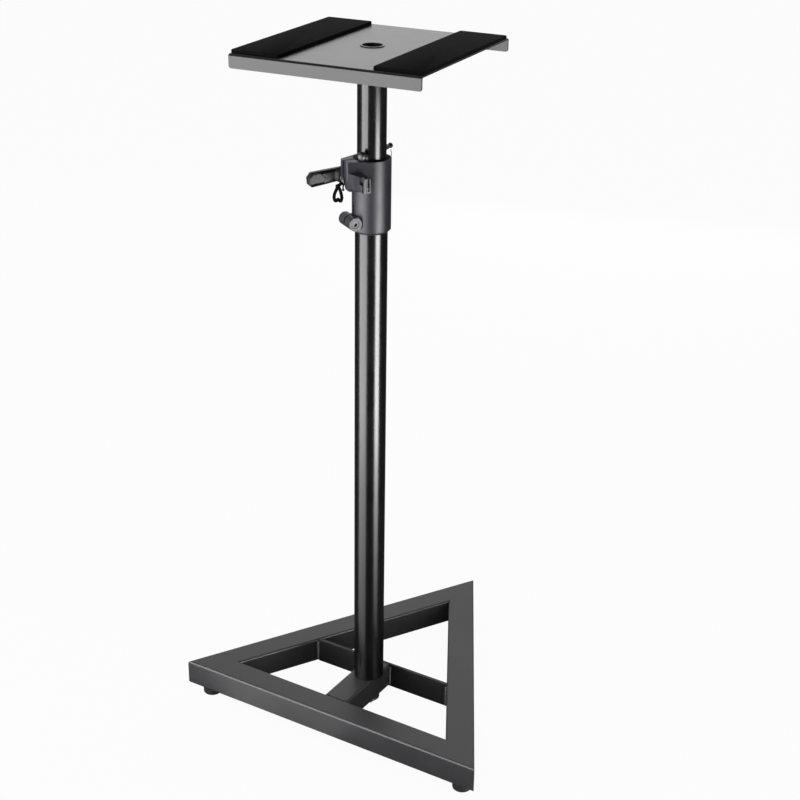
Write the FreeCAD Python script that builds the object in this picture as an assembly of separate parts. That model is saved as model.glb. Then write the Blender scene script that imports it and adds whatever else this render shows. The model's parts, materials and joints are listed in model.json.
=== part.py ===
import FreeCAD
import Part
import math
import os

os.makedirs("parts", exist_ok=True)
V = FreeCAD.Vector

# Loudspeaker stand with a triangular tube base and a telescopic column.
# Millimetres, +Z up. While it is built, the column's axis is the z axis, and the floor lies
# foot_height under the frame tubes. The finished piece is lifted until its feet stand at z 0.

# base frame: three mitred tubes, outer corners in plan
frame_corner_left = (-215.5, -104.7)
frame_corner_right = (215.5, -104.7)
frame_corner_rear = (0.0, 282.8)
frame_tube_width = 35.0
frame_tube_bottom = 8.6
frame_tube_top = 42.2
frame_tube_wall = 1.5
frame_tube_radius = 3.0
cross_bar_y = 31.0
cross_bar_thick = 4.0
support_left = -21.5
support_right = 12.5
weld_radius = 3.0

# feet
foot_radius = 12.0
foot_height = 14.0
foot_outward = 4.3
foot_recess_radius = 4.6
foot_recess_depth = 6.0

# column
column_radius = 19.0
column_wall = 1.5
column_top = 692.0
mast_radius = 16.7
mast_wall = 1.5
mast_bottom = 72.0
mast_travel = 450.0
index_pitch = 50.0
index_count = 9
running_gap = 0.05

# collar
collar_radius = 22.6
collar_bottom = 646.0
collar_top = 732.0
collar_chamfer = 3.0
lug_bottom = 698.0
lug_end = 35.0
lug_flank = 25.0
clamp_direction = -123.0
clamp_rho = 24.5
clamp_z = 707.5
clamp_rod_radius = 3.0
slit_width = 2.5
lower_slit_top = 679.0
nut_boss_end = 40.0
nut_boss_width = 12.0
nut_boss_bottom = 703.0
nut_boss_top = 719.5
pinch_rho = 26.6
pinch_z = 660.0
pinch_radius = 7.75
pinch_half = 15.0

# handle
handle_half = 41.0
handle_depth_near = -26.5
handle_depth_far = -38.5
handle_tilt = 5.5

# locking pin
pin_radius = 3.2
pin_z = 737.5
pin_drop = 3.3
pin_front = -23.5
pin_head_radius = 5.2
pin_back = 38.0
pin_ball_at = 47.0
pin_ball_radius = 3.15

# top plate
plate_turn = 5.24
plate_side = 228.6
plate_thick = 2.0
plate_top = 857.4
plate_drop = 15.6
plate_bend = 3.0
plate_hole_radius = 12.4
flange_round = 3.0
pad_width = 58.0
pad_thick = 3.7
pad_short = 4.6

# the finished piece stands with its bounding box centred over the origin
turn = math.radians(plate_turn)
front_reach = plate_side / 2 * (math.sin(turn) + math.cos(turn))
shift_y = -(frame_corner_rear[1] - front_reach) / 2
shift_z = foot_height - frame_tube_bottom


def save(name, shape):
    out = shape.copy()
    out.translate(V(0, shift_y, shift_z))
    out.exportStep("parts/" + name + ".step")


def box(x0, x1, y0, y1, z0, z1):
    return Part.makeBox(x1 - x0, y1 - y0, z1 - z0, V(x0, y0, z0))


def rod(radius, start, end):
    a = V(*start)
    b = V(*end)
    return Part.makeCylinder(radius, (b - a).Length, a, b - a)


def upright(radius, z0, z1, x=0.0, y=0.0):
    return Part.makeCylinder(radius, z1 - z0, V(x, y, z0))


def prism(points, z0, z1):
    loop = [V(x, y, z0) for x, y in points]
    loop.append(loop[0])
    return Part.Face(Part.makePolygon(loop)).extrude(V(0, 0, z1 - z0))


def edges_along(shape, direction, test):
    found = []
    for edge in shape.Edges:
        if edge.Curve.TypeId != "Part::GeomLine":
            continue
        way = edge.Vertexes[1].Point - edge.Vertexes[0].Point
        way.normalize()
        if abs(way.dot(direction)) > 0.999 and test(edge.CenterOfMass):
            found.append(edge)
    return found


def turned_ball(radius, middle, way, steps=10):
    pts = []
    for k in range(steps + 1):
        a = math.pi * k / steps
        pts.append(V(radius * math.sin(a), 0, -radius * math.cos(a)))
    pts[0] = V(0, 0, -radius)
    pts[-1] = V(0, 0, radius)
    pts.append(pts[0])
    body = Part.Face(Part.makePolygon(pts)).revolve(V(0, 0, 0), V(0, 0, 1), 360)
    body.Placement = FreeCAD.Placement(middle, FreeCAD.Rotation(V(0, 0, 1), way))
    return body


def hexagon(radius_flat, start, way, length, roll=0.0):
    corner = radius_flat / math.cos(math.radians(30))
    pts = []
    for k in range(7):
        a = math.radians(60 * k + roll)
        pts.append(V(corner * math.cos(a), corner * math.sin(a), 0))
    body = Part.Face(Part.makePolygon(pts)).extrude(V(0, 0, length))
    turned = FreeCAD.Rotation(V(0, 0, 1), V(*way))
    body.Placement = FreeCAD.Placement(V(*start), turned)
    return body


# the clamp side of the collar is drawn with x outwards and y along the clamping rod
def clamp_side(shape):
    out = shape.copy()
    out.rotate(V(0, 0, 0), V(0, 0, 1), clamp_direction)
    return out


def plate_side_up(shape):
    out = shape.copy()
    out.rotate(V(0, 0, 0), V(0, 0, 1), plate_turn)
    return out


# base frame
pa = V(frame_corner_left[0], frame_corner_left[1], 0)
pc = V(frame_corner_right[0], frame_corner_right[1], 0)
pb = V(frame_corner_rear[0], frame_corner_rear[1], 0)
side_a = (pb - pc).Length
side_c = (pb - pa).Length
side_b = (pc - pa).Length
whole = side_a + side_b + side_c
centre = (pa * side_a + pc * side_c + pb * side_b) * (1.0 / whole)
area = 0.5 * abs((pc - pa).cross(pb - pa).z)
inradius = 2 * area / whole


def inset(point, distance):
    return centre + (point - centre) * (1.0 - distance / inradius)


def frame_tube(p, q):
    length = (q - p).Length
    z0 = frame_tube_bottom
    z1 = frame_tube_top
    w = frame_tube_width
    t = frame_tube_wall
    outer = box(-20, length + 20, 0, w, z0, z1)
    outer = outer.makeFillet(frame_tube_radius, edges_along(outer, V(1, 0, 0), lambda c: True))
    inner = box(-30, length + 30, t, w - t, z0 + t, z1 - t)
    inner = inner.makeFillet(frame_tube_radius - t, edges_along(inner, V(1, 0, 0), lambda c: True))
    tube = outer.cut(inner)
    angle = math.degrees(math.atan2((q - p).y, (q - p).x))
    tube.rotate(V(0, 0, 0), V(0, 0, 1), angle)
    tube.translate(p)
    far_p = p + (p - centre) * 0.1
    far_q = q + (q - centre) * 0.1
    wedge = prism([(far_p.x, far_p.y), (far_q.x, far_q.y), (centre.x, centre.y)], 0, 60)
    return tube.common(wedge)


foot_points = [inset(p, frame_tube_width / 2) for p in (pa, pc, pb)]
foot_points = [p + V(dx, dy, 0) for p, dx, dy in zip(foot_points, (-foot_outward, foot_outward, 0), (0, 0, foot_outward))]
screw_holes = [upright(2.1, 0, 14, p.x, p.y) for p in foot_points]

tube_front = frame_tube(pa, pc)
tube_right = frame_tube(pc, pb)
tube_left = frame_tube(pb, pa)
for hole in screw_holes:
    tube_front = tube_front.cut(hole)
    tube_right = tube_right.cut(hole)
    tube_left = tube_left.cut(hole)
save("base_tube_front", tube_front)
save("base_tube_right", tube_right)
save("base_tube_left", tube_left)

# flat bar on edge across the frame, and the tube that carries the column
inner_points = [inset(p, frame_tube_width) for p in (pa, pc, pb)]
inner_plan = [(p.x, p.y) for p in inner_points]
inner_space = prism(inner_plan, frame_tube_bottom, frame_tube_top)
bar = box(-300, 300, cross_bar_y, cross_bar_y + cross_bar_thick, frame_tube_bottom, frame_tube_top)
bar = bar.common(inner_space)
save("base_cross_bar", bar)

front_inner_y = inner_points[0].y
sx0 = support_left
sx1 = support_right
support = box(sx0, sx1, front_inner_y, cross_bar_y, frame_tube_bottom, frame_tube_top)
support = support.makeFillet(frame_tube_radius, edges_along(support, V(0, 1, 0), lambda c: True))
wall = frame_tube_wall
hollow = box(sx0 + wall, sx1 - wall, front_inner_y - 5, cross_bar_y + 5,
             frame_tube_bottom + wall, frame_tube_top - wall)
hollow = hollow.makeFillet(1.5, edges_along(hollow, V(0, 1, 0), lambda c: True))
support = support.cut(hollow)
support = support.cut(upright(5.2, 0, 60))
save("base_support_tube", support)

# weld beads in the corners where the inner pieces meet
support_block = box(sx0, sx1, front_inner_y, cross_bar_y, 0, 60)
bar_block = box(-300, 300, cross_bar_y, cross_bar_y + 60, 0, 60)
bar_left = min(v.Point.x for v in bar.Vertexes if abs(v.Point.y - cross_bar_y) < 0.01)
bar_right = max(v.Point.x for v in bar.Vertexes if abs(v.Point.y - cross_bar_y) < 0.01)
beads = []
for bx, by in ((sx0, front_inner_y), (sx1, front_inner_y), (sx0, cross_bar_y),
               (sx1, cross_bar_y), (bar_left, cross_bar_y), (bar_right, cross_bar_y)):
    bead = upright(weld_radius, frame_tube_bottom + 1.5, frame_tube_top - 1.5, bx, by)
    bead = bead.common(inner_space).cut(support_block).cut(bar_block)
    beads.append(bead)
save("base_weld_beads", Part.makeCompound(beads))

# feet and their screws
foot_names = ("foot_left", "foot_right", "foot_rear")
screws = []
for name, p in zip(foot_names, foot_points):
    floor_z = -shift_z
    seat_z = floor_z + foot_recess_depth
    foot = upright(foot_radius, floor_z, frame_tube_bottom, p.x, p.y)
    rim = [e for e in foot.Edges if abs(e.BoundBox.ZMax - floor_z) < 0.01 and e.Length > 10]
    foot = foot.makeChamfer(1.5, rim)
    foot = foot.cut(upright(foot_recess_radius, floor_z - 1, seat_z, p.x, p.y))
    foot = foot.cut(upright(2.1, floor_z, 20, p.x, p.y))
    save(name, foot)
    head = upright(4.2, seat_z - 2.4, seat_z, p.x, p.y)
    shank = upright(2.0, seat_z, 14.5, p.x, p.y)
    slot = box(p.x - 0.6, p.x + 0.6, p.y - 3.0, p.y + 3.0, seat_z - 2.9, seat_z - 1.2)
    cross = box(p.x - 3.0, p.x + 3.0, p.y - 0.6, p.y + 0.6, seat_z - 2.9, seat_z - 1.2)
    screws.append(head.fuse(shank).cut(slot).cut(cross).removeSplitter())
save("foot_screws", Part.makeCompound(screws))

# column: outer tube, threaded plug, bolt and washer
column = upright(column_radius, frame_tube_top, column_top)
column = column.cut(upright(column_radius - column_wall, 0, 800))
save("lower_column", column)
plug = upright(column_radius - column_wall - 0.05, frame_tube_top, 59.0)
plug = plug.cut(upright(5.05, 0, 70))
save("column_plug", plug)
washer = upright(14.0, frame_tube_bottom - 2.0, frame_tube_bottom).cut(upright(5.2, 0, 70))
save("column_washer", washer)
bolt = upright(5.0, frame_tube_bottom - 2.0, 57.0)
bolt = bolt.fuse(hexagon(8.5, (0, 0, frame_tube_bottom - 7.0), (0, 0, 1), 5.0, 15))
save("column_bolt", bolt.removeSplitter())

# collar with the clamp lugs, the nut boss and the lower pinch boss
collar = upright(collar_radius, collar_bottom + collar_chamfer, collar_top)
collar = collar.fuse(Part.makeCone(collar_radius - collar_chamfer, collar_radius, collar_chamfer,
                                   V(0, 0, collar_bottom)))
flank = math.radians(lug_flank)
touch_x = collar_radius * math.sin(flank)
touch_y = collar_radius * math.cos(flank)
end_y = (collar_radius - lug_end * math.sin(flank)) / math.cos(flank)
lug = prism([(touch_x, touch_y), (touch_x, -touch_y), (lug_end, -end_y), (lug_end, end_y)],
            lug_bottom, collar_top)
lug = lug.makeFillet(3.0, edges_along(lug, V(0, 0, 1), lambda c: c.x > lug_end - 1))
taper = Part.makePolygon([V(lug_end + 0.5, -30, 719), V(lug_end - 3.0, -30, lug_bottom - 1), V(60, -30, lug_bottom - 1),
                          V(60, -30, 719), V(lug_end + 0.5, -30, 719)])
lug = lug.cut(Part.Face(taper).extrude(V(0, 60, 0)))
collar = collar.fuse(lug)
half_w = nut_boss_width / 2
nut_boss = box(clamp_rho - half_w, clamp_rho + half_w, 2.0, nut_boss_end,
               nut_boss_bottom, nut_boss_top)
nut_boss = nut_boss.makeChamfer(1.2, edges_along(nut_boss, V(0, 0, 1), lambda c: c.y > 30))
collar = collar.fuse(nut_boss)
root = prism([(clamp_rho + half_w, 6.0), (clamp_rho + half_w, 22.0), (clamp_rho + half_w + 3.6, 6.0)],
             nut_boss_bottom, nut_boss_top)
collar = collar.fuse(root)
spot = rod(8.3, (clamp_rho, -2.0, clamp_z), (clamp_rho, -14.2, clamp_z))
collar = collar.fuse(spot)
collar = collar.cut(rod(8.3, (clamp_rho, -14.2, clamp_z), (clamp_rho, -40.0, clamp_z)))
pinch = rod(pinch_radius, (pinch_rho, -pinch_half, pinch_z), (pinch_rho, pinch_half, pinch_z))
pinch_web = box(12.0, pinch_rho, -10.0, 10.0, pinch_z - 6.5, pinch_z + 6.5)
collar = collar.fuse(pinch).fuse(pinch_web)
collar = collar.cut(upright(column_radius + running_gap, collar_bottom - 1, column_top))
collar = collar.cut(upright(18.2, column_top - 1, collar_top + 1))
collar = collar.cut(upright(21.5, collar_top - 1.5, collar_top + 1))
half_slit = slit_width / 2
collar = collar.cut(box(14, 50, -half_slit, half_slit, collar_bottom - 5, lower_slit_top))
collar = collar.cut(box(14, 50, -half_slit, half_slit, column_top, collar_top + 5))
collar = collar.cut(rod(3.4, (clamp_rho, -30, clamp_z), (clamp_rho, 37.0, clamp_z)))
collar = collar.cut(box(clamp_rho - 4.8, clamp_rho + 4.8, 31.0, 38.2,
                        nut_boss_bottom + 0.5, nut_boss_top + 5))
collar = collar.cut(box(clamp_rho - 0.6, clamp_rho + 0.6, nut_boss_end - 0.7, 50,
                        nut_boss_bottom - 5, nut_boss_top + 5))
collar = collar.cut(rod(2.7, (pinch_rho, -30, pinch_z), (pinch_rho, 30, pinch_z)))
collar = collar.cut(rod(4.6, (pinch_rho, 9.6, pinch_z), (pinch_rho, 30, pinch_z)))
save("clamp_collar", clamp_side(collar.removeSplitter()))

liner = upright(18.15, column_top + 0.5, collar_top)
liner = liner.fuse(upright(21.4, collar_top - 1.45, collar_top))
liner = liner.cut(upright(mast_radius + running_gap, 600, 800))
liner = liner.cut(box(10, 50, -1.0, 1.0, 600, 800))
save("collar_liner", clamp_side(liner.removeSplitter()))

# pinch screw and nut at the foot of the collar
screw = rod(4.4, (pinch_rho, 9.65, pinch_z), (pinch_rho, 14.6, pinch_z))
screw = screw.fuse(rod(2.5, (pinch_rho, -21.0, pinch_z), (pinch_rho, 10.0, pinch_z)))
screw = screw.cut(hexagon(2.0, (pinch_rho, 12.0, pinch_z), (0, 1, 0), 6.0))
save("pinch_screw", clamp_side(screw.removeSplitter()))
nut = hexagon(4.0, (pinch_rho, -pinch_half - 4.0, pinch_z), (0, 1, 0), 4.0)
nut = nut.cut(rod(2.55, (pinch_rho, -30, pinch_z), (pinch_rho, 0, pinch_z)))
save("pinch_nut", clamp_side(nut))

# clamping rod, its nut and washer, and the T-shaped handle
clamp_rod = rod(clamp_rod_radius, (clamp_rho, -34.0, clamp_z), (clamp_rho, 37.6, clamp_z))
save("clamp_rod", clamp_side(clamp_rod))
nut = box(clamp_rho - 4.6, clamp_rho + 4.6, 31.3, 36.6, nut_boss_bottom + 0.55, clamp_z + 4.4)
nut = nut.cut(rod(clamp_rod_radius + running_gap, (clamp_rho, 0, clamp_z), (clamp_rho, 60, clamp_z)))
save("clamp_nut", clamp_side(nut))
washer = rod(7.5, (clamp_rho, -15.8, clamp_z), (clamp_rho, -14.25, clamp_z))
washer = washer.cut(rod(3.3, (clamp_rho, -30, clamp_z), (clamp_rho, 0, clamp_z)))
save("clamp_washer", clamp_side(washer))


def handle_slab(outline, y0, y1, bevel):
    loop = [V(clamp_rho + s, y0, clamp_z + h) for s, h in outline]
    loop.append(loop[0])
    slab = Part.Face(Part.makePolygon(loop)).extrude(V(0, y1 - y0, 0))
    faces = [f for f in slab.Faces if abs(abs(f.normalAt(0, 0).y) - 1) < 0.001]
    rims = []
    for face in faces:
        rims.extend(face.Edges)
    return slab.makeChamfer(bevel, rims)


# the bar is one long faceted grip with a raised hexagon near each end
y0 = handle_depth_far
y1 = handle_depth_near
hh = handle_half
bar_outline = [(-hh, -4.4), (-hh + 4.0, -8.6), (-22, -8.2), (0, -7.4), (22, -8.2), (hh - 4.0, -8.6), (hh, -4.4),
               (hh, 3.4), (hh - 5.0, 8.4), (22, 8.2), (0, 7.6), (-22, 8.2), (-hh + 5.0, 8.4), (-hh, 3.4)]
handle = handle_slab(bar_outline, y0, y1 - 1.0, 3.0)
for side in (-1, 1):
    tip_outline = [(hh - 20.5, 0.6), (hh - 17.5, -4.4), (hh - 0.8, -4.4), (hh - 0.4, 2.8), (hh - 5.4, 7.4), (hh - 15.0, 7.2)]
    if side < 0:
        tip_outline = [(-s, h) for s, h in reversed(tip_outline)]
    handle = handle.fuse(handle_slab(tip_outline, y1 - 5.0, y1, 0.8))
    groove = box(min(side * (hh + 5), side * (hh - 19)), max(side * (hh + 5), side * (hh - 19)), 0, 4.0, -5.7, -4.5)
    groove.translate(V(clamp_rho, y1 - 3.4, clamp_z))
    handle = handle.cut(groove)
hub = Part.makeCone(5.8, 9.5, 5.5, V(clamp_rho, -22.0, clamp_z), V(0, -1, 0))
neck = rod(5.8, (clamp_rho, -16.1, clamp_z), (clamp_rho, -24.0, clamp_z))
handle = handle.fuse(hub).fuse(neck)
handle = handle.cut(rod(clamp_rod_radius + 0.05, (clamp_rho, -34.0, clamp_z), (clamp_rho, 0, clamp_z)))
handle.rotate(V(clamp_rho, 0, clamp_z), V(0, 1, 0), handle_tilt)
save("t_handle", clamp_side(handle.removeSplitter()))

# inner mast with the index holes, guide bush, lower plug and bush screw
pin_line = V(-math.sin(turn), math.cos(turn), 0)
lean = math.radians(pin_drop)
pin_lean = V(pin_line.x * math.cos(lean), pin_line.y * math.cos(lean), -math.sin(lean))


def pin_rod(radius, s0, s1, z, way=pin_line):
    a = way * s0 + V(0, 0, z)
    return Part.makeCylinder(radius, s1 - s0, a, way)


mast_top = plate_top - plate_thick
mast = upright(mast_radius, mast_bottom, mast_top)
mast = mast.cut(upright(mast_radius - mast_wall, mast_bottom - 5, mast_top + 5))
mast = mast.cut(pin_rod(pin_radius + running_gap, -30, 30, pin_z, pin_lean))
for k in range(1, index_count + 1):
    mast = mast.cut(pin_rod(pin_radius + running_gap, -30, 30, pin_z - k * index_pitch))
save("mast_tube", mast)
lower_plug = upright(mast_radius - mast_wall - 0.05, mast_bottom, 90.0)
lower_plug = lower_plug.cut(upright(2.55, 0, 100))
save("mast_lower_plug", lower_plug)
bush = upright(column_radius - column_wall - running_gap, mast_bottom - 1.9, 112.0)
bush = bush.cut(upright(mast_radius + running_gap, mast_bottom - 0.1, 120.0))
bush = bush.cut(upright(5.0, 0, 100))
save("guide_bush", bush)
bush_screw = upright(9.0, mast_bottom - 4.5, mast_bottom - 2.0)
bush_screw = bush_screw.fuse(upright(4.7, mast_bottom - 2.5, mast_bottom))
bush_screw = bush_screw.fuse(upright(2.5, mast_bottom - 1.0, 88.0))
bush_screw = bush_screw.cut(hexagon(2.5, (0, 0, mast_bottom - 5.0), (0, 0, 1), 2.6))
save("bush_screw", bush_screw.removeSplitter())
top_plug = upright(mast_radius - mast_wall - 0.05, 838.0, 850.0)
top_plug = top_plug.cut(upright(4.0, 844.0, 860.0))
save("mast_top_plug", top_plug)

# top plate with bent front and rear flanges
half = plate_side / 2
low = plate_top - plate_drop
plate = box(-half, half, -half, half, low, plate_top)
plate = plate.makeFillet(plate_bend, edges_along(plate, V(1, 0, 0), lambda c: c.z > plate_top - 0.1))
inner = box(-half - 5, half + 5, -half + plate_thick, half - plate_thick, low - 5, mast_top)
inner = inner.makeFillet(plate_bend - plate_thick,
                         edges_along(inner, V(1, 0, 0), lambda c: c.z > mast_top - 0.1))
plate = plate.cut(inner)
plate = plate.makeFillet(flange_round, edges_along(plate, V(0, 1, 0), lambda c: c.z < low + 0.1))
plate = plate.cut(upright(plate_hole_radius, 800, 900))
save("top_plate", plate_side_up(plate))
rim = upright(13.7, plate_top, plate_top + 0.9)
rim = rim.fuse(upright(plate_hole_radius - 0.05, plate_top - 3.6, plate_top + 0.5))
rim = rim.cut(upright(plate_hole_radius - 1.0, 800, 900))
save("plate_rim", rim.removeSplitter())
weld = Part.makeCone(mast_radius + 0.02, mast_radius + 3.0, 3.0, V(0, 0, mast_top - 3.0))
weld = weld.cut(upright(mast_radius, 800, 900))
save("plate_weld", weld)

# rubber pads along the left and right edges
for name, side in (("pad_left", -1), ("pad_right", 1)):
    xa = side * (half - 0.2)
    xb = side * (half - 0.2 - pad_width)
    pad = box(min(xa, xb), max(xa, xb), -half + pad_short, half - pad_short,
              plate_top, plate_top + pad_thick)
    pad = pad.makeFillet(2.0, edges_along(pad, V(0, 0, 1), lambda c: True))
    save(name, plate_side_up(pad))

# locking pin: domed head at the front, shank through the mast, waist and ball at the back
pin = pin_rod(pin_radius, pin_front, pin_back, pin_z, pin_lean)
pin = pin.fuse(pin_rod(1.5, pin_back - 1, pin_ball_at, pin_z, pin_lean))
head_centre = pin_lean * (pin_front - 1.0) + V(0, 0, pin_z)
head = turned_ball(pin_head_radius, head_centre, pin_lean)
head = head.common(pin_rod(20, pin_front - 20, pin_front + 0.6, pin_z, pin_lean))
pin = pin.fuse(head)
save("locking_pin", pin.removeSplitter())
ball = turned_ball(pin_ball_radius, pin_lean * pin_ball_at + V(0, 0, pin_z), pin_lean)
ball = ball.cut(pin_rod(1.55, 30, pin_ball_at + 0.05, pin_z, pin_lean))
save("pin_ball", ball)

# tether: a thin steel wire from the ball round the back of the collar, and a cord loop on the handle's neck
def bend_corners(points, closed=False):
    pts = [V(*p) for p in points]
    count = len(pts)
    inner = range(count) if closed else range(1, count - 1)
    arcs = {}
    for k in inner:
        before = pts[k - 1]
        here = pts[k]
        after = pts[(k + 1) % count]
        run = min((here - before).Length, (after - here).Length)
        into = (before - here).normalize()
        away = (after - here).normalize()
        half_turn = (math.pi - into.getAngle(away)) / 2
        cut_back = 0.45 * run
        radius = cut_back / math.tan(half_turn)
        a = here + into * cut_back
        c = here + away * cut_back
        middle = (into + away).normalize()
        reach = radius / math.cos(half_turn) - radius
        arcs[k] = (a, here + middle * reach, c, radius)
    edges = []
    if closed:
        for k in range(count):
            a, b, c, radius = arcs[k]
            edges.append(Part.Arc(a, b, c).toShape())
            edges.append(Part.LineSegment(c, arcs[(k + 1) % count][0]).toShape())
    else:
        last = pts[0]
        for k in inner:
            a, b, c, radius = arcs[k]
            edges.append(Part.LineSegment(last, a).toShape())
            edges.append(Part.Arc(a, b, c).toShape())
            last = c
        edges.append(Part.LineSegment(last, pts[-1]).toShape())
    return Part.Wire(edges), [round(arcs[k][3], 2) for k in sorted(arcs)]


def tube_on(points, radius, closed=False):
    path, radii = bend_corners(points, closed)
    first = path.Edges[0]
    way = first.tangentAt(first.FirstParameter)
    start = first.valueAt(first.FirstParameter)
    side = way.cross(V(0, 0, 1) if abs(way.z) < 0.8 else V(1, 0, 0)).normalize()
    over = way.cross(side)
    corners = [start + side * (radius * math.cos(math.pi * k / 4)) + over * (radius * math.sin(math.pi * k / 4))
               for k in range(9)]
    corners[8] = corners[0]
    tube = path.makePipeShell([Part.makePolygon(corners)], True, False)
    ratio = tube.Volume / (2 * math.sqrt(2) * radius * radius * path.Length)
    print("tube", "radii", radii, "length", round(path.Length, 2), "volume ratio", round(ratio, 4))
    return tube


wire_points = [(18.7, -19.0, 701.7), (15.0, -21.8, 699.2), (9.8, -23.6, 698.0), (4.0, -24.6, 698.2),
               (-2.4, -25.2, 700.0), (-9.2, -25.4, 703.2), (-16.0, -25.2, 707.4), (-22.6, -25.2, 712.0),
               (-28.8, -25.5, 716.4), (-34.6, -26.2, 720.2), (-38.6, -27.4, 725.0), (-37.2, -29.0, 730.0)]
tether_wire = tube_on(wire_points, 0.5)
save("tether_wire", clamp_side(tether_wire))
loop_y = -18.6
ring_points = []
for k in range(8):
    a = math.radians(45 * k + 22.5)
    ring_points.append((clamp_rho + 7.3 * math.cos(a), loop_y, clamp_z + 7.3 * math.sin(a)))
neck_ring = tube_on(ring_points, 0.9, True)
strand_a = rod(1.0, (28.6, loop_y, 701.6), (34.0, loop_y, 696.8))
strand_b = rod(1.0, (24.5, loop_y, 700.6), (33.6, loop_y, 696.6))
knot = turned_ball(2.3, V(34.0, loop_y, 696.8), V(0, 1, 0), 6)
drop_points = [(35.4, loop_y, 693.9), (36.9, loop_y, 690.2), (38.0, loop_y, 686.0), (37.2, loop_y, 682.8),
               (34.8, loop_y, 681.2), (31.6, loop_y, 681.2), (29.6, loop_y, 683.4), (29.8, loop_y, 687.2),
               (31.4, loop_y, 690.8), (33.2, loop_y, 693.9)]
drop = tube_on(drop_points, 1.2, True)
tether_loop = neck_ring.fuse(strand_a).fuse(strand_b).fuse(knot).fuse(drop)
tether_loop = tether_loop.cut(rod(0.55, (22.4, -16.2, 704.2), (15.0, -21.8, 699.2)))
save("tether_loop", clamp_side(tether_loop))
tail_y = loop_y + 2.1
tail = tube_on([(26.6, tail_y, 700.2), (28.4, tail_y, 697.2), (28.2, tail_y, 693.6)], 0.9)
crimp = turned_ball(1.5, V(27.9, tail_y, 692.8), V(0, 0, 1), 8)
save("tether_tail", clamp_side(tail.cut(crimp)))
save("tether_crimp", clamp_side(crimp))
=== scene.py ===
import bpy
import bmesh
import json
import math
from mathutils import Vector, Matrix


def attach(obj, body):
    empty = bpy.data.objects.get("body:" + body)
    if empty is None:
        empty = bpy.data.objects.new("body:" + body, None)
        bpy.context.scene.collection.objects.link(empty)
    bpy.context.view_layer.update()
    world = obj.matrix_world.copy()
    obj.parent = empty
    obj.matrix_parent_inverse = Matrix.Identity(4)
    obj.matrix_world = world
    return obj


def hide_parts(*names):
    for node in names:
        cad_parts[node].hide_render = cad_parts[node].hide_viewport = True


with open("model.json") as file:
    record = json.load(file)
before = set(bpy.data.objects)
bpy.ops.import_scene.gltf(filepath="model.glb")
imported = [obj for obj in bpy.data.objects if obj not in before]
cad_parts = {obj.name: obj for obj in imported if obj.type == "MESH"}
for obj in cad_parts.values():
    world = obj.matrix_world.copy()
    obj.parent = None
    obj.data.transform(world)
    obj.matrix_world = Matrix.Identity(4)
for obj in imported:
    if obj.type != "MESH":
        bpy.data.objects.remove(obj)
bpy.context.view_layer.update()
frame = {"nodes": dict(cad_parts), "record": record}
nodes = frame["nodes"]
behaviour = frame["record"]["behaviour"]
bodyOfNode = {n: b for b, group in behaviour["bodies"].items() for n in group}
slotOfNode = {s["node"]: s["material_slot"] for s in frame["record"]["subparts"]}
print("stage: frame loaded,", len(nodes), "nodes")

columnAxis = (0.0, -0.079269)      # the column in plan, metres
raised = 5.4                       # millimetres that the frame stands above the heights written below
clampTurn = math.radians(-123)     # the clamp side of the collar points this way
plateTurn = math.radians(5.24)


def deselectAll():
    if bpy.context.object and bpy.context.object.mode != 'OBJECT':
        bpy.ops.object.mode_set(mode='OBJECT')
    bpy.ops.object.select_all(action='DESELECT')


def pickOnly(obj):
    deselectAll()
    obj.select_set(True)
    bpy.context.view_layer.objects.active = obj


def applyPlace(obj):
    pickOnly(obj)
    bpy.ops.object.transform_apply(location=True, rotation=True, scale=True)


def clampPoint(out, along, up):     # millimetres on the clamp side to metres in the frame
    c, s = math.cos(clampTurn), math.sin(clampTurn)
    return Vector((columnAxis[0] + (out * c - along * s) / 1000,
                   columnAxis[1] + (out * s + along * c) / 1000, (up + raised) / 1000))


# camera, solved from the base, the column and the plate of the photo
shot = {
    "place": (0.92171, -1.54263, 1.20947),
    "yaw": 121.02,     # where it looks, degrees from +X
    "pitch": 24.04,    # down
    "roll": 0.82,
    "lens": 70.69,
}


def placeCamera():
    yaw, pitch, roll = (math.radians(shot[k]) for k in ("yaw", "pitch", "roll"))
    look = Vector((math.cos(yaw) * math.cos(pitch), math.sin(yaw) * math.cos(pitch), -math.sin(pitch)))
    side = Vector((math.sin(yaw), -math.cos(yaw), 0))
    over = side.cross(look)
    right = side * math.cos(roll) + over * math.sin(roll)
    up = over * math.cos(roll) - side * math.sin(roll)
    turn = Matrix((right, up, -look)).transposed().to_4x4()
    data = bpy.data.cameras.new("photoCamera")
    data.sensor_fit = 'HORIZONTAL'
    data.sensor_width = 36
    data.lens = shot["lens"]
    cam = bpy.data.objects.new("photoCamera", data)
    bpy.context.scene.collection.objects.link(cam)
    cam.matrix_world = Matrix.Translation(shot["place"]) @ turn
    bpy.context.scene.camera = cam


placeCamera()
print("stage: camera")


# materials
def newMaterial(name):
    mat = bpy.data.materials.new(name)
    mat.use_nodes = True
    tree = mat.node_tree
    return mat, tree.nodes, tree.links, tree.nodes["Principled BSDF"]


def objectCoords(tNodes):
    return tNodes.new("ShaderNodeTexCoord").outputs["Object"]


def noiseAt(tNodes, links, vector, scale, detail=3.0, rough=0.5):
    noise = tNodes.new("ShaderNodeTexNoise")
    noise.inputs["Scale"].default_value = scale
    noise.inputs["Detail"].default_value = detail
    noise.inputs["Roughness"].default_value = rough
    links.new(vector, noise.inputs["Vector"])
    return noise.outputs["Fac"]


def rampBetween(tNodes, links, fac, low, high, start=0.0, end=1.0):
    ramp = tNodes.new("ShaderNodeValToRGB")
    ramp.color_ramp.elements[0].position = start
    ramp.color_ramp.elements[1].position = end
    ramp.color_ramp.elements[0].color = (*low, 1)
    ramp.color_ramp.elements[1].color = (*high, 1)
    links.new(fac, ramp.inputs["Fac"])
    return ramp.outputs["Color"]


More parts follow.
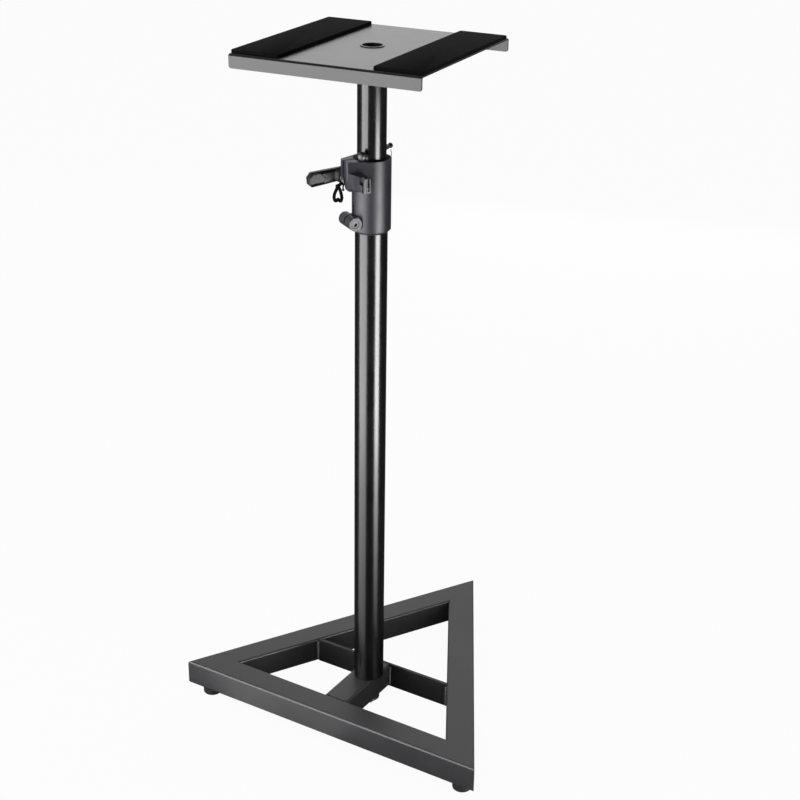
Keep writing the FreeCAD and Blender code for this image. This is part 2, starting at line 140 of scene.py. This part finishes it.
def rangeOf(tNodes, links, fac, low, high, start=0.0, end=1.0):
    span = tNodes.new("ShaderNodeMapRange")
    span.inputs["From Min"].default_value = start
    span.inputs["From Max"].default_value = end
    span.inputs["To Min"].default_value = low
    span.inputs["To Max"].default_value = high
    links.new(fac, span.inputs["Value"])
    return span.outputs["Result"]


def bumpFrom(tNodes, links, height, distance, strength=1.0, under=None):
    bump = tNodes.new("ShaderNodeBump")
    bump.inputs["Distance"].default_value = distance
    bump.inputs["Strength"].default_value = strength
    links.new(height, bump.inputs["Height"])
    if under is not None:
        links.new(under, bump.inputs["Normal"])
    return bump.outputs["Normal"]


cloudSpan = (0.3, 0.7)     # the part of a noise's range that carries its change

powderCoat = {"tone": 0.035, "rough": 0.42, "grain": 2600, "grainDeep": 0.00006, "cloud": 7.0,
              "low": (0.86, 0.86, 0.93), "high": (1.12, 1.12, 1.22),   # shares of the tone, red green blue
              "wear": 0.10, "speck": 620.0, "speckFrom": 0.69, "speckTo": 0.78, "speckShow": 0.35,
              "peel": 420.0, "peelDeep": 0.00005}

coatBase = {"spread": 0.18, "cast": (1.0, 1.0, 1.01), "specular": 0.5,
            "cloud": 9.0, "smudge": 34.0, "smear": 0.13}
coats = {      # what each coat says differs from coatBase
    "semiGlossBlack": {"tone": 0.007, "rough": 0.22, "grain": 900, "grainDeep": 0.000012},
    "plateBlack": {"tone": 0.016, "rough": 0.26, "grain": 1500, "grainDeep": 0.000004,
                   "smear": 0.03, "cast": (1.0, 1.0, 1.04), "specular": 0.37},
    "collarMould": {"tone": 0.029, "rough": 0.44, "grain": 3200, "grainDeep": 0.00004,
                    "spread": 0.14, "cast": (0.98, 0.96, 1.28), "specular": 0.4},
    "blackMould": {"tone": 0.012, "rough": 0.38, "grain": 3000, "grainDeep": 0.00003,
                   "spread": 0.2, "cast": (1.0, 1.0, 1.02)},
    "footRubber": {"tone": 0.012, "rough": 0.75, "grain": 1500, "grainDeep": 0.0001,
                   "spread": 0.25, "cast": (1.0, 1.0, 1.0), "specular": 0.3},
    "deepBlack": {"tone": 0.005, "rough": 0.7, "grain": 900, "grainDeep": 0.00001,
                  "spread": 0.2, "cast": (1.0, 1.0, 1.0), "specular": 0.1},
    "ballBlack": {"tone": 0.005, "rough": 0.45, "grain": 900, "grainDeep": 0.00001,
                  "spread": 0.2, "cast": (1.0, 1.0, 1.0), "specular": 0.2},
    "cordBlack": {"tone": 0.007, "rough": 0.9, "grain": 1600, "grainDeep": 0.00008,
                  "spread": 0.3, "cast": (1.0, 1.0, 1.0), "specular": 0.05},
    "gripBlack": {"tone": 0.013, "rough": 0.40, "grain": 2600, "grainDeep": 0.00003,
                  "spread": 0.2, "cast": (1.0, 1.0, 1.1), "specular": 0.22},
    # the cross bar's coat is a darker copy of the frame paint: painted shade for the shade it stands in inside
    # the base
    "barPaintedShade": {"tone": 0.018, "rough": 0.42, "grain": 2600, "grainDeep": 0.00005,
                 "spread": 0.16, "cast": (1.0, 1.0, 1.07), "specular": 0.28},
}

steels = {
    "zincPlatedSteel": {"tone": 0.34, "rough": 0.42, "grain": 1400, "grainDeep": 0.00001},
    "turnedSteel": {"tone": 0.30, "rough": 0.5, "grain": 900, "grainDeep": 0.00002},
    "darkSteel": {"tone": 0.07, "rough": 0.56, "grain": 1400, "grainDeep": 0.00001},
    "pinSteel": {"tone": 0.075, "rough": 0.40, "grain": 1400, "grainDeep": 0.00001},
}
steelCloud = {"scale": 60.0, "low": (0.85, 0.85, 0.86), "high": (1.08, 1.08, 1.1), "roughSpan": (0.8, 1.3)}

padRubber = {"tone": 0.0075, "rough": 0.88, "specular": 0.04, "cloud": 12.0,
             "low": (0.8, 0.78, 0.78), "high": (1.3, 1.26, 1.26),
             "cell": 1800, "cellDeep": 0.00016, "wave": 150.0, "waveDeep": 0.0002, "waveShow": 0.6}


def toneBetween(tNodes, links, fac, tone, low, high):
    return rampBetween(tNodes, links, fac, [tone * c for c in low], [tone * c for c in high], *cloudSpan)


def makeCoat(name):
    look = {**coatBase, **coats[name]}
    mat, tNodes, links, bsdf = newMaterial(name)
    vec = objectCoords(tNodes)
    cloudy = noiseAt(tNodes, links, vec, look["cloud"], 4.0)
    low = [(1 - look["spread"]) * c for c in look["cast"]]
    high = [(1 + look["spread"]) * c for c in look["cast"]]
    links.new(toneBetween(tNodes, links, cloudy, look["tone"], low, high), bsdf.inputs["Base Color"])
    grain = noiseAt(tNodes, links, vec, look["grain"], 2.0)
    smudge = noiseAt(tNodes, links, vec, look["smudge"], 5.0, 0.6)
    smooth, dull = look["rough"] * (1 - look["smear"]), look["rough"] * (1 + look["smear"])
    links.new(rangeOf(tNodes, links, smudge, smooth, dull, *cloudSpan), bsdf.inputs["Roughness"])
    links.new(bumpFrom(tNodes, links, grain, look["grainDeep"]), bsdf.inputs["Normal"])
    bsdf.inputs["Specular IOR Level"].default_value = look["specular"]
    return mat


def makePowderCoat():
    look = powderCoat
    mat, tNodes, links, bsdf = newMaterial("satinPowderCoat")
    vec = objectCoords(tNodes)
    cloudy = noiseAt(tNodes, links, vec, look["cloud"], 5.0)
    base = toneBetween(tNodes, links, cloudy, look["tone"], look["low"], look["high"])
    specks = noiseAt(tNodes, links, vec, look["speck"], 2.0, 0.7)
    scuff = rampBetween(tNodes, links, specks, (0, 0, 0), (1, 1, 1), look["speckFrom"], look["speckTo"])
    mix = tNodes.new("ShaderNodeMix")
    mix.data_type = 'RGBA'
    mix.inputs["B"].default_value = (look["wear"], look["wear"], look["wear"], 1)
    links.new(base, mix.inputs["A"])
    links.new(rangeOf(tNodes, links, scuff, 0.0, look["speckShow"]), mix.inputs["Factor"])
    links.new(mix.outputs["Result"], bsdf.inputs["Base Color"])
    links.new(rangeOf(tNodes, links, cloudy, look["rough"] * 0.9, look["rough"] * 1.12, *cloudSpan),
              bsdf.inputs["Roughness"])
    peel = noiseAt(tNodes, links, vec, look["peel"], 2.0)
    soft = bumpFrom(tNodes, links, peel, look["peelDeep"])
    grain = noiseAt(tNodes, links, vec, look["grain"], 2.0)
    links.new(bumpFrom(tNodes, links, grain, look["grainDeep"], 1.0, soft), bsdf.inputs["Normal"])
    return mat


def makeSteel(name):
    look = steels[name]
    mat, tNodes, links, bsdf = newMaterial(name)
    vec = objectCoords(tNodes)
    cloudy = noiseAt(tNodes, links, vec, steelCloud["scale"], 4.0)
    links.new(toneBetween(tNodes, links, cloudy, look["tone"], steelCloud["low"], steelCloud["high"]),
              bsdf.inputs["Base Color"])
    bsdf.inputs["Metallic"].default_value = 1.0
    smooth, dull = (look["rough"] * share for share in steelCloud["roughSpan"])
    links.new(rangeOf(tNodes, links, cloudy, smooth, dull, *cloudSpan), bsdf.inputs["Roughness"])
    grain = noiseAt(tNodes, links, vec, look["grain"], 2.0)
    links.new(bumpFrom(tNodes, links, grain, look["grainDeep"]), bsdf.inputs["Normal"])
    return mat


def makePadFoam():
    look = padRubber
    mat, tNodes, links, bsdf = newMaterial("closedCellPad")
    vec = objectCoords(tNodes)
    cloudy = noiseAt(tNodes, links, vec, look["cloud"], 5.0)
    links.new(toneBetween(tNodes, links, cloudy, look["tone"], look["low"], look["high"]),
              bsdf.inputs["Base Color"])
    cells = tNodes.new("ShaderNodeTexVoronoi")
    cells.inputs["Scale"].default_value = look["cell"]
    links.new(vec, cells.inputs["Vector"])
    pores = bumpFrom(tNodes, links, cells.outputs["Distance"], look["cellDeep"])
    wave = noiseAt(tNodes, links, vec, look["wave"], 3.0)
    links.new(bumpFrom(tNodes, links, wave, look["waveDeep"], look["waveShow"], pores), bsdf.inputs["Normal"])
    bsdf.inputs["Roughness"].default_value = look["rough"]
    bsdf.inputs["Specular IOR Level"].default_value = look["specular"]
    return mat


finishes = {       # by the record's material slots
    "frame_paint": makePowderCoat(),
    "column_paint": makeCoat("semiGlossBlack"),
    "plate_paint": makeCoat("plateBlack"),
    "collar_plastic": makeCoat("collarMould"),
    "black_plastic": makeCoat("blackMould"),
    "zinc_steel": makeSteel("zincPlatedSteel"),
    "column_plug_steel": makeSteel("turnedSteel"),
    "rubber": makeCoat("footRubber"),
}
padFinish = makePadFoam()
deepBlack = makeCoat("deepBlack")
cordBlack = makeCoat("cordBlack")
darkSteel = makeSteel("darkSteel")
specialFinish = {      # nodes whose finish is finer than their slot's; the cross bar's darker coat is painted shade
    "base_cross_bar": makeCoat("barPaintedShade"),
    "mast_top_plug": deepBlack, "collar_liner": deepBlack,
    "pin_ball": makeCoat("ballBlack"), "locking_pin": makeSteel("pinSteel"),
    "tether_crimp": cordBlack, "t_handle": makeCoat("gripBlack"),
    "pinch_screw": darkSteel, "clamp_nut": darkSteel,
}


def dress(obj, slotName, mat=None):
    obj.data.materials.clear()
    obj.data.materials.append(mat or finishes[slotName])


for nodeName, node in nodes.items():
    node.data.materials.clear()
    node.data.materials.append(finishes[slotOfNode[nodeName]])
print("stage: finishes")

# CAD nodes that show get broken edges, as folded, moulded and sawn edges have
edgeWork = {"merge": 0.000004, "flatWithin": 0.4, "bevelFrom": 38, "smoothTo": 32}   # metres, then degrees
softEdges = {      # width of each node's broken edge, metres
    "base_tube_front": 0.0006, "base_tube_left": 0.0006, "base_tube_right": 0.0006,
    "base_cross_bar": 0.0006, "base_support_tube": 0.0005,
    "clamp_collar": 0.0005, "lower_column": 0.0004, "mast_tube": 0.0003,
    "top_plate": 0.0005, "plate_rim": 0.0003, "t_handle": 0.0007, "pinch_screw": 0.0003,
    "pinch_nut": 0.0003, "clamp_nut": 0.0003, "clamp_washer": 0.0003, "collar_liner": 0.0003,
    "foot_left": 0.0007, "foot_right": 0.0007, "foot_rear": 0.0007, "column_bolt": 0.0004,
    "column_washer": 0.0003, "plate_weld": 0.0002, "locking_pin": 0.0002, "pin_ball": 0.0,
    "tether_crimp": 0.0, "foot_screws": 0.0002, "mast_top_plug": 0.0003,
}

# the collar's lug is cut a little finer than its solid, in millimetres on the clamp side
collarCuts = {
    "bossFront": {"plan": [(27.2, 42.0), (30.9, 20.0), (36.0, 20.0), (36.0, 42.0)], "from": 702.0, "to": 721.0},
    "nutSlot": {"plan": [(20.9, 42.0), (23.2, 42.0), (23.2, 36.8), (20.9, 36.8)], "from": 705.0, "to": 721.0},
}
jawCut = {         # the lower outer corner of the rear jaw, seen along the clamp rod
    "outline": [(26.3, 690.0), (26.3, 702.5), (28.6, 706.0), (31.5, 710.5), (40.0, 712.0), (40.0, 690.0)],
    "from": -30.0, "to": -1.3,
}


def cutPrism(piece, corners, way):
    deselectAll()
    bpy.ops.mesh.primitive_circle_add(vertices=len(corners), radius=0.01, fill_type='NGON')
    cutter = bpy.context.object
    for vertex, corner in zip(cutter.data.vertices, corners):
        vertex.co = corner
    bpy.ops.object.mode_set(mode='EDIT')
    bpy.ops.mesh.select_all(action='SELECT')
    bpy.ops.mesh.extrude_region_move(TRANSFORM_OT_translate={"value": way})
    bpy.ops.mesh.select_all(action='SELECT')
    bpy.ops.mesh.normals_make_consistent(inside=False)
    bpy.ops.object.mode_set(mode='OBJECT')
    pickOnly(piece)
    cut = piece.modifiers.new("prismCut", 'BOOLEAN')
    cut.operation = 'DIFFERENCE'
    cut.solver = 'EXACT'
    cut.object = cutter
    bpy.ops.object.modifier_apply(modifier="prismCut")
    bpy.data.objects.remove(cutter)


def cutCollar(piece):
    for cut in collarCuts.values():
        corners = [clampPoint(out, along, cut["from"]) for out, along in cut["plan"]]
        cutPrism(piece, corners, Vector((0, 0, (cut["to"] - cut["from"]) / 1000)))
    corners = [clampPoint(out, jawCut["from"], up) for out, up in jawCut["outline"]]
    cutPrism(piece, corners, clampPoint(0, jawCut["to"], 0) - clampPoint(0, jawCut["from"], 0))


def breakEdges(nodeName, width):
    source = nodes[nodeName]
    piece = source.copy()
    piece.data = source.data.copy()
    piece.name = nodeName + "_dressed"
    piece.data.name = piece.name
    for key in list(piece.keys()):
        del piece[key]
    piece.parent = None
    piece.matrix_world = Matrix.Identity(4)
    bpy.context.scene.collection.objects.link(piece)
    pickOnly(piece)
    bpy.ops.object.mode_set(mode='EDIT')
    bpy.ops.mesh.select_all(action='SELECT')
    bpy.ops.mesh.remove_doubles(threshold=edgeWork["merge"])
    bpy.ops.mesh.dissolve_limited(angle_limit=math.radians(edgeWork["flatWithin"]))
    bpy.ops.object.mode_set(mode='OBJECT')
    if nodeName == "clamp_collar":
        cutCollar(piece)
    if width > 0:
        bevel = piece.modifiers.new("brokenEdge", 'BEVEL')
        bevel.width = width
        bevel.segments = 2
        bevel.limit_method = 'ANGLE'
        bevel.angle_limit = math.radians(edgeWork["bevelFrom"])
        bevel.use_clamp_overlap = True
        bpy.ops.object.modifier_apply(modifier="brokenEdge")
    bpy.ops.object.shade_smooth_by_angle(angle=math.radians(edgeWork["smoothTo"]))
    piece.modifiers.new("flatFaces", 'WEIGHTED_NORMAL').keep_sharp = True
    bpy.ops.object.modifier_apply(modifier="flatFaces")
    dress(piece, slotOfNode[nodeName], specialFinish.get(nodeName))
    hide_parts(nodeName)
    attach(piece, bodyOfNode[nodeName])


for nodeName, width in softEdges.items():
    breakEdges(nodeName, width)
print("stage: broken edges on", len(softEdges), "pieces")

# the two pads on the plate
pad = {
    "wide": 0.058, "long": 0.2194, "thick": 0.0037, "bottom": 0.8628,
    "outer": 0.1141,           # outer edge from the plate's middle
    "cornerRound": 0.0024, "edgeRound": 0.0007, "edgeDrop": 0.8, "smoothTo": 40,
}


def makePad(name, side, nodeName):
    deselectAll()
    bpy.ops.mesh.primitive_cube_add(size=1, location=(0, 0, 0))
    obj = bpy.context.object
    obj.name = name
    obj.scale = (pad["wide"], pad["long"], pad["thick"])
    bpy.ops.object.transform_apply(location=False, rotation=False, scale=True)
    bpy.ops.object.mode_set(mode='EDIT')
    bpy.ops.mesh.select_mode(type='EDGE')
    bpy.ops.mesh.select_all(action='DESELECT')
    bm = bmesh.from_edit_mesh(obj.data)
    for e in bm.edges:
        e.select_set(abs((e.verts[0].co - e.verts[1].co).normalized().z) > 0.9)
    bmesh.update_edit_mesh(obj.data)
    bpy.ops.mesh.bevel(offset=pad["cornerRound"], segments=4)
    bpy.ops.mesh.select_all(action='DESELECT')
    bm = bmesh.from_edit_mesh(obj.data)
    for f in bm.faces:
        f.select_set(f.normal.z > 0.9)
    bmesh.update_edit_mesh(obj.data)
    bpy.ops.mesh.inset(thickness=pad["edgeRound"], depth=0)
    bpy.ops.mesh.select_mode(type='VERT')
    bm = bmesh.from_edit_mesh(obj.data)
    for v in bm.verts:
        atTop = v.co.z > pad["thick"] / 2 - 0.0001
        onCrown = any(abs(f.normal.z) > 0.9 and len(f.verts) > 12 for f in v.link_faces)
        if atTop and not onCrown:      # the outer ring of the top goes down, which breaks the edge
            v.co.z -= pad["edgeRound"] * pad["edgeDrop"]
    bmesh.update_edit_mesh(obj.data)
    bpy.ops.object.mode_set(mode='OBJECT')
    middle = side * (pad["outer"] - pad["wide"] / 2)
    obj.rotation_euler = (0, 0, plateTurn)
    obj.location = (columnAxis[0] + middle * math.cos(plateTurn),
                    columnAxis[1] + middle * math.sin(plateTurn), pad["bottom"] + pad["thick"] / 2)
    applyPlace(obj)
    bpy.ops.object.shade_smooth_by_angle(angle=math.radians(pad["smoothTo"]))
    dress(obj, "rubber", padFinish)
    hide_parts(nodeName)
    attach(obj, "mast")


makePad("pad_left_foam", -1, "pad_left")
makePad("pad_right_foam", 1, "pad_right")
print("stage: pads")

# weld beads, a stack of overlapping scales in each inner corner
bead = {
    "radius": 0.0029, "flat": 0.62, "tilt": (14, -9), "step": 0.0021, "bottom": 0.0182, "top": 0.0458,
    "supportCorners": [(-0.0215, -0.14897), (0.0125, -0.14897), (-0.0215, -0.04827), (0.0125, -0.04827)],
    "barEnds": [(-0.0996, -0.04827), (0.0996, -0.04827)],
}


def makeBead(place):
    deselectAll()
    bpy.ops.mesh.primitive_uv_sphere_add(segments=16, ring_count=8, radius=bead["radius"],
                                         location=(place[0], place[1], bead["bottom"]))
    obj = bpy.context.object
    obj.scale = (1, 1, bead["flat"])
    obj.rotation_euler = (math.radians(bead["tilt"][0]), math.radians(bead["tilt"][1]), 0)
    applyPlace(obj)
    row = obj.modifiers.new("scales", 'ARRAY')
    row.use_relative_offset = False
    row.use_constant_offset = True
    row.constant_offset_displace = (0, 0, bead["step"])
    row.count = int((bead["top"] - bead["bottom"]) / bead["step"])
    pickOnly(obj)
    bpy.ops.object.modifier_apply(modifier="scales")
    bpy.ops.object.shade_smooth()
    return obj


beads = [makeBead(place) for place in bead["supportCorners"] + bead["barEnds"]]
deselectAll()
for b in beads:
    b.select_set(True)
bpy.context.view_layer.objects.active = beads[0]
bpy.ops.object.join()
beads[0].name = "weld_bead_scales"
dress(beads[0], "frame_paint")
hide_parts("base_weld_beads")
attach(beads[0], "base")
print("stage: weld beads")

# tether: wire from the neck ring round the back of the collar to the ball, cord loop below the handle
tether = {         # thicknesses in metres, routes in millimetres on the clamp side
    "wireThick": 0.001, "ringThick": 0.0022, "strandThick": 0.0028, "loopThick": 0.0038, "tailThick": 0.0018,
    "wireLength": 0.0728, "ringMiddle": (24.5, 707.5), "ringRadius": 7.0, "loopAlong": -18.6,
    "knotAt": (33.6, 696.8), "knotRadius": 0.0029, "knotRough": 0.00022, "tailBeside": 2.1,
}
wireRoute = [(18.7, -19.0, 701.7), (15.0, -21.8, 699.2), (9.8, -23.6, 698.0), (4.0, -24.6, 698.2),
             (-2.4, -25.2, 700.0), (-9.2, -25.4, 703.2), (-16.0, -25.2, 707.4), (-22.6, -25.2, 712.0),
             (-28.8, -25.5, 716.4), (-34.6, -26.2, 720.2), (-38.6, -27.4, 725.0), (-37.2, -29.0, 730.0)]
dropRoute = [(32.6, 696.0), (30.8, 692.2), (29.3, 687.0), (28.6, 681.7), (30.0, 678.7), (32.2, 680.2),
             (33.7, 682.3), (35.4, 679.8), (37.8, 680.7), (38.6, 685.2), (37.4, 690.0), (35.4, 693.1),
             (34.3, 696.0)]
strandRoutes = {"tether_strand_a": [(28.6, 701.6), (31.4, 699.4), (34.0, 696.8)],
                "tether_strand_b": [(24.5, 700.6), (29.4, 699.4), (33.6, 696.6)]}
tailRoute = [(26.6, 700.2), (28.4, 697.2), (28.2, 693.6)]


def makeCurve(name, places, thick, closed=False):
    data = bpy.data.curves.new(name, 'CURVE')
    data.dimensions = '3D'
    data.bevel_depth = thick / 2
    data.bevel_resolution = 4
    data.use_fill_caps = True
    line = data.splines.new('NURBS')
    line.points.add(len(places) - 1)
    for point, place in zip(line.points, places):
        point.co = (*place, 1)
    line.order_u = 3
    line.use_cyclic_u = closed
    line.use_endpoint_u = not closed
    line.resolution_u = 10
    obj = bpy.data.objects.new(name, data)
    bpy.context.scene.collection.objects.link(obj)
    return obj


wirePlaces = [clampPoint(*p) for p in wireRoute]
wire = makeCurve("tether_wire_dressed", wirePlaces, tether["wireThick"])
dress(wire, "zinc_steel")
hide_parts("tether_wire")
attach(wire, "base")

along = tether["loopAlong"]


def loopPoint(out, up):
    return clampPoint(out, along, up)


ringPlaces = []
for angle in range(0, 360, 45):
    a = math.radians(angle)
    ringPlaces.append(loopPoint(tether["ringMiddle"][0] + tether["ringRadius"] * math.cos(a),
                                tether["ringMiddle"][1] + tether["ringRadius"] * math.sin(a)))
loopPieces = [makeCurve("tether_neck_ring", ringPlaces, tether["ringThick"], True),
              makeCurve("tether_drop", [loopPoint(*p) for p in dropRoute], tether["loopThick"], True)]
for name, route in strandRoutes.items():
    loopPieces.append(makeCurve(name, [loopPoint(*p) for p in route], tether["strandThick"]))
deselectAll()
bpy.ops.mesh.primitive_uv_sphere_add(segments=20, ring_count=12, radius=tether["knotRadius"],
                                     location=loopPoint(*tether["knotAt"]))
knot = bpy.context.object
knot.name = "tether_knot"
applyPlace(knot)
bpy.ops.object.mode_set(mode='EDIT')
bpy.ops.mesh.select_all(action='SELECT')
bpy.ops.transform.vertex_random(offset=tether["knotRough"], seed=4)
bpy.ops.object.mode_set(mode='OBJECT')
bpy.ops.object.shade_smooth()
loopPieces.append(knot)
for piece in loopPieces:
    dress(piece, "black_plastic", cordBlack)
    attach(piece, "base")
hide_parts("tether_loop")

tailPlaces = [clampPoint(out, along + tether["tailBeside"], up) for out, up in tailRoute]
tail = makeCurve("tether_tail_dressed", tailPlaces, tether["tailThick"])
dress(tail, "black_plastic", cordBlack)
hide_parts("tether_tail")
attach(tail, "base")
print("stage: tether")

# floor, world and lamps
floorLook = {
    "size": 16, "tone": 0.86, "rough": 0.9,
    "camera": 0.955,               # share of plain white that the camera sees, the rest keeps the shadow
    "reflectedPaintedShade": 0.12, "farStart": 4.6, "farEnd": 6.2,      # what the paint mirrors, near and far: painted shade on the floor near the stand, a white sweep further out
    "poolSoft": 3, "poolEdge": 0.15,                       # degrees, metres, at the edges of the painted pools of light
}
worldLook = {"brightSide": (-0.515, 0.857, 0.0), "dim": 0.12, "bright": 0.9, "start": 0.1, "end": 0.85}
softBoxes = {      # tall boxes that the black paint mirrors, in degrees round the column
    # each soft box also paints a pool of light on the floor in front of it, a share of its radiance, glowing
    # for reflected rays only
    "stripLeft": {"from": -144, "to": -87, "far": 0.85, "bottom": 0.0, "top": 1.05,
                  "radiance": 8.2, "paintedPoolShare": 0.78, "fade": 1},
    "stripRight": {"from": -26, "to": 4, "far": 0.85, "bottom": 0.0, "top": 0.57,
                   "radiance": 19.5, "paintedPoolShare": 0.85, "fade": 2},
}


def mathNode(tNodes, links, kind, a, b):
    node = tNodes.new("ShaderNodeMath")
    node.operation = kind
    for socket, value in zip(node.inputs, (a, b)):
        if isinstance(value, (int, float)):
            socket.default_value = value
        else:
            links.new(value, socket)
    return node.outputs[0]


def paintedPoolOf(tNodes, links, box, angle, far):      # a pool of light painted on the floor in front of a soft box, glowing for reflected rays only
    soft = math.radians(floorLook["poolSoft"])
    start, end = math.radians(box["from"]), math.radians(box["to"])
    rise = rangeOf(tNodes, links, angle, 0, 1, start - soft, start + soft)
    fall = rangeOf(tNodes, links, angle, 1, 0, end - soft, end + soft)
    reach = rangeOf(tNodes, links, far, 1, 0, box["far"], box["far"] + floorLook["poolEdge"])
    pool = mathNode(tNodes, links, 'MULTIPLY', mathNode(tNodes, links, 'MULTIPLY', rise, fall), reach)
    reachUp = mathNode(tNodes, links, 'POWER', far, box["fade"])
    slope = mathNode(tNodes, links, 'MULTIPLY', reachUp, box["radiance"] * box["paintedPoolShare"])
    return mathNode(tNodes, links, 'MULTIPLY', pool, slope)


def makeFloor():
    deselectAll()
    bpy.ops.mesh.primitive_plane_add(size=floorLook["size"], location=(0, 0, 0))
    floor = bpy.context.object
    floor.name = "studio_floor"
    mat, tNodes, links, bsdf = newMaterial("paleFloorPaintedReflections")
    bsdf.inputs["Base Color"].default_value = (floorLook["tone"],) * 3 + (1,)
    bsdf.inputs["Roughness"].default_value = floorLook["rough"]
    path = tNodes.new("ShaderNodeLightPath")
    shift = tNodes.new("ShaderNodeVectorMath")
    shift.operation = 'SUBTRACT'
    shift.inputs[1].default_value = (*columnAxis, 0)
    links.new(objectCoords(tNodes), shift.inputs[0])
    parts = tNodes.new("ShaderNodeSeparateXYZ")
    links.new(shift.outputs[0], parts.inputs[0])
    angle = mathNode(tNodes, links, 'ARCTAN2', parts.outputs["Y"], parts.outputs["X"])
    size = tNodes.new("ShaderNodeVectorMath")
    size.operation = 'LENGTH'
    links.new(shift.outputs[0], size.inputs[0])
    far = size.outputs["Value"]
    # what the paint mirrors, painted on the floor for reflected rays only: the white sweep further out, and
    # pools of light painted glowing in front of the soft boxes
    total = rangeOf(tNodes, links, far, 0.0, 1.0, floorLook["farStart"], floorLook["farEnd"])
    for box in softBoxes.values():
        total = mathNode(tNodes, links, 'ADD', total, paintedPoolOf(tNodes, links, box, angle, far))
    paintedReflectionGlow = tNodes.new("ShaderNodeEmission")
    links.new(total, paintedReflectionGlow.inputs["Strength"])
    # a dark copy of the floor, seen only in reflections: painted shade
    dull = tNodes.new("ShaderNodeBsdfDiffuse")
    dull.inputs["Color"].default_value = (floorLook["reflectedPaintedShade"],) * 3 + (1,)
    away = tNodes.new("ShaderNodeAddShader")
    links.new(paintedReflectionGlow.outputs[0], away.inputs[0])
    links.new(dull.outputs[0], away.inputs[1])
    glow = tNodes.new("ShaderNodeEmission")
    seen = tNodes.new("ShaderNodeMixShader")
    seen.inputs["Fac"].default_value = floorLook["camera"]
    links.new(bsdf.outputs[0], seen.inputs[1])
    links.new(glow.outputs[0], seen.inputs[2])
    glossy = mathNode(tNodes, links, 'MAXIMUM',
                      path.outputs["Is Glossy Ray"], path.outputs["Is Transmission Ray"])
    first = tNodes.new("ShaderNodeMixShader")
    links.new(glossy, first.inputs["Fac"])
    links.new(bsdf.outputs[0], first.inputs[1])
    links.new(away.outputs[0], first.inputs[2])
    last = tNodes.new("ShaderNodeMixShader")
    links.new(path.outputs["Is Camera Ray"], last.inputs["Fac"])
    links.new(first.outputs[0], last.inputs[1])
    links.new(seen.outputs[0], last.inputs[2])
    links.new(last.outputs[0], tNodes["Material Output"].inputs["Surface"])
    floor.data.materials.append(mat)


def makeWorld():
    world = bpy.data.worlds.new("studioWorld")
    bpy.context.scene.world = world
    world.use_nodes = True
    tNodes = world.node_tree.nodes
    links = world.node_tree.links
    back = tNodes["Background"]
    path = tNodes.new("ShaderNodeLightPath")
    coords = tNodes.new("ShaderNodeTexCoord")
    # the studio is bright behind the stand and dim on the camera's side
    away = tNodes.new("ShaderNodeVectorMath")
    away.operation = 'DOT_PRODUCT'
    away.inputs[1].default_value = worldLook["brightSide"]
    links.new(coords.outputs["Generated"], away.inputs[0])
    shade = rangeOf(tNodes, links, away.outputs["Value"], worldLook["dim"], worldLook["bright"],
                    worldLook["start"], worldLook["end"])
    mix = tNodes.new("ShaderNodeMix")
    mix.data_type = 'RGBA'
    links.new(path.outputs["Is Camera Ray"], mix.inputs["Factor"])
    links.new(shade, mix.inputs["A"])
    mix.inputs["B"].default_value = (1, 1, 1, 1)
    links.new(mix.outputs["Result"], back.inputs["Color"])
    back.inputs["Strength"].default_value = 1.0


def around(angle, far, up):
    a = math.radians(angle)
    return Vector((columnAxis[0] + far * math.cos(a), columnAxis[1] + far * math.sin(a), up))


def addLamp(name, lamp):
    data = bpy.data.lights.new(name, 'AREA')
    data.shape = 'RECTANGLE'
    data.size, data.size_y = lamp["size"]
    data.energy = lamp["radiance"] * math.pi * data.size * data.size_y
    obj = bpy.data.objects.new(name, data)
    bpy.context.scene.collection.objects.link(obj)
    way = Vector(lamp["target"]) - Vector(lamp["place"])
    obj.matrix_world = Matrix.Translation(lamp["place"]) @ way.to_track_quat('-Z', 'Y').to_matrix().to_4x4()
    obj.visible_camera = False
    obj.visible_glossy = lamp["for"] == "gloss"
    obj.visible_diffuse = lamp["for"] == "colour"


def softBoxLamp(box):
    half = math.radians(box["to"] - box["from"]) / 2
    middle = (box["to"] + box["from"]) / 2
    up = (box["bottom"] + box["top"]) / 2
    return {"place": around(middle, box["far"], up), "target": around(0, 0, up), "for": "gloss",
            "size": (2 * box["far"] * math.tan(half), box["top"] - box["bottom"]), "radiance": box["radiance"]}


lamps = {
    "rearPanel": {"place": around(113, 2.2, 1.75), "target": around(0, 0, 0.85),
                  "size": (1.7, 1.3), "radiance": 0.46, "for": "gloss"},
    "keyOverhead": {"place": (-1.2, -1.0, 1.9), "target": (-0.05, 0, 0.2),
                    "size": (1.4, 1.4), "radiance": 2.1, "for": "colour"},
    "lowFront": {"place": (-0.35, -1.7, 0.10), "target": (0, 0, 0.03),
                 "size": (1.8, 0.16), "radiance": 7.0, "for": "colour"},
    "backFill": {"place": (-0.6, 2.0, 0.7), "target": (0, 0, 0.35),
                 "size": (1.4, 1.2), "radiance": 1.3, "for": "colour"},
    "fillRight": {"place": (1.9, -0.5, 1.4), "target": (0, 0, 0.4),
                  "size": (1.2, 1.6), "radiance": 1.0, "for": "colour"},
}
makeFloor()
makeWorld()
for name, box in softBoxes.items():
    addLamp(name, softBoxLamp(box))
for name, lamp in lamps.items():
    addLamp(name, lamp)
bpy.context.scene.view_settings.view_transform = 'Standard'
print("stage: floor, world and lamps")
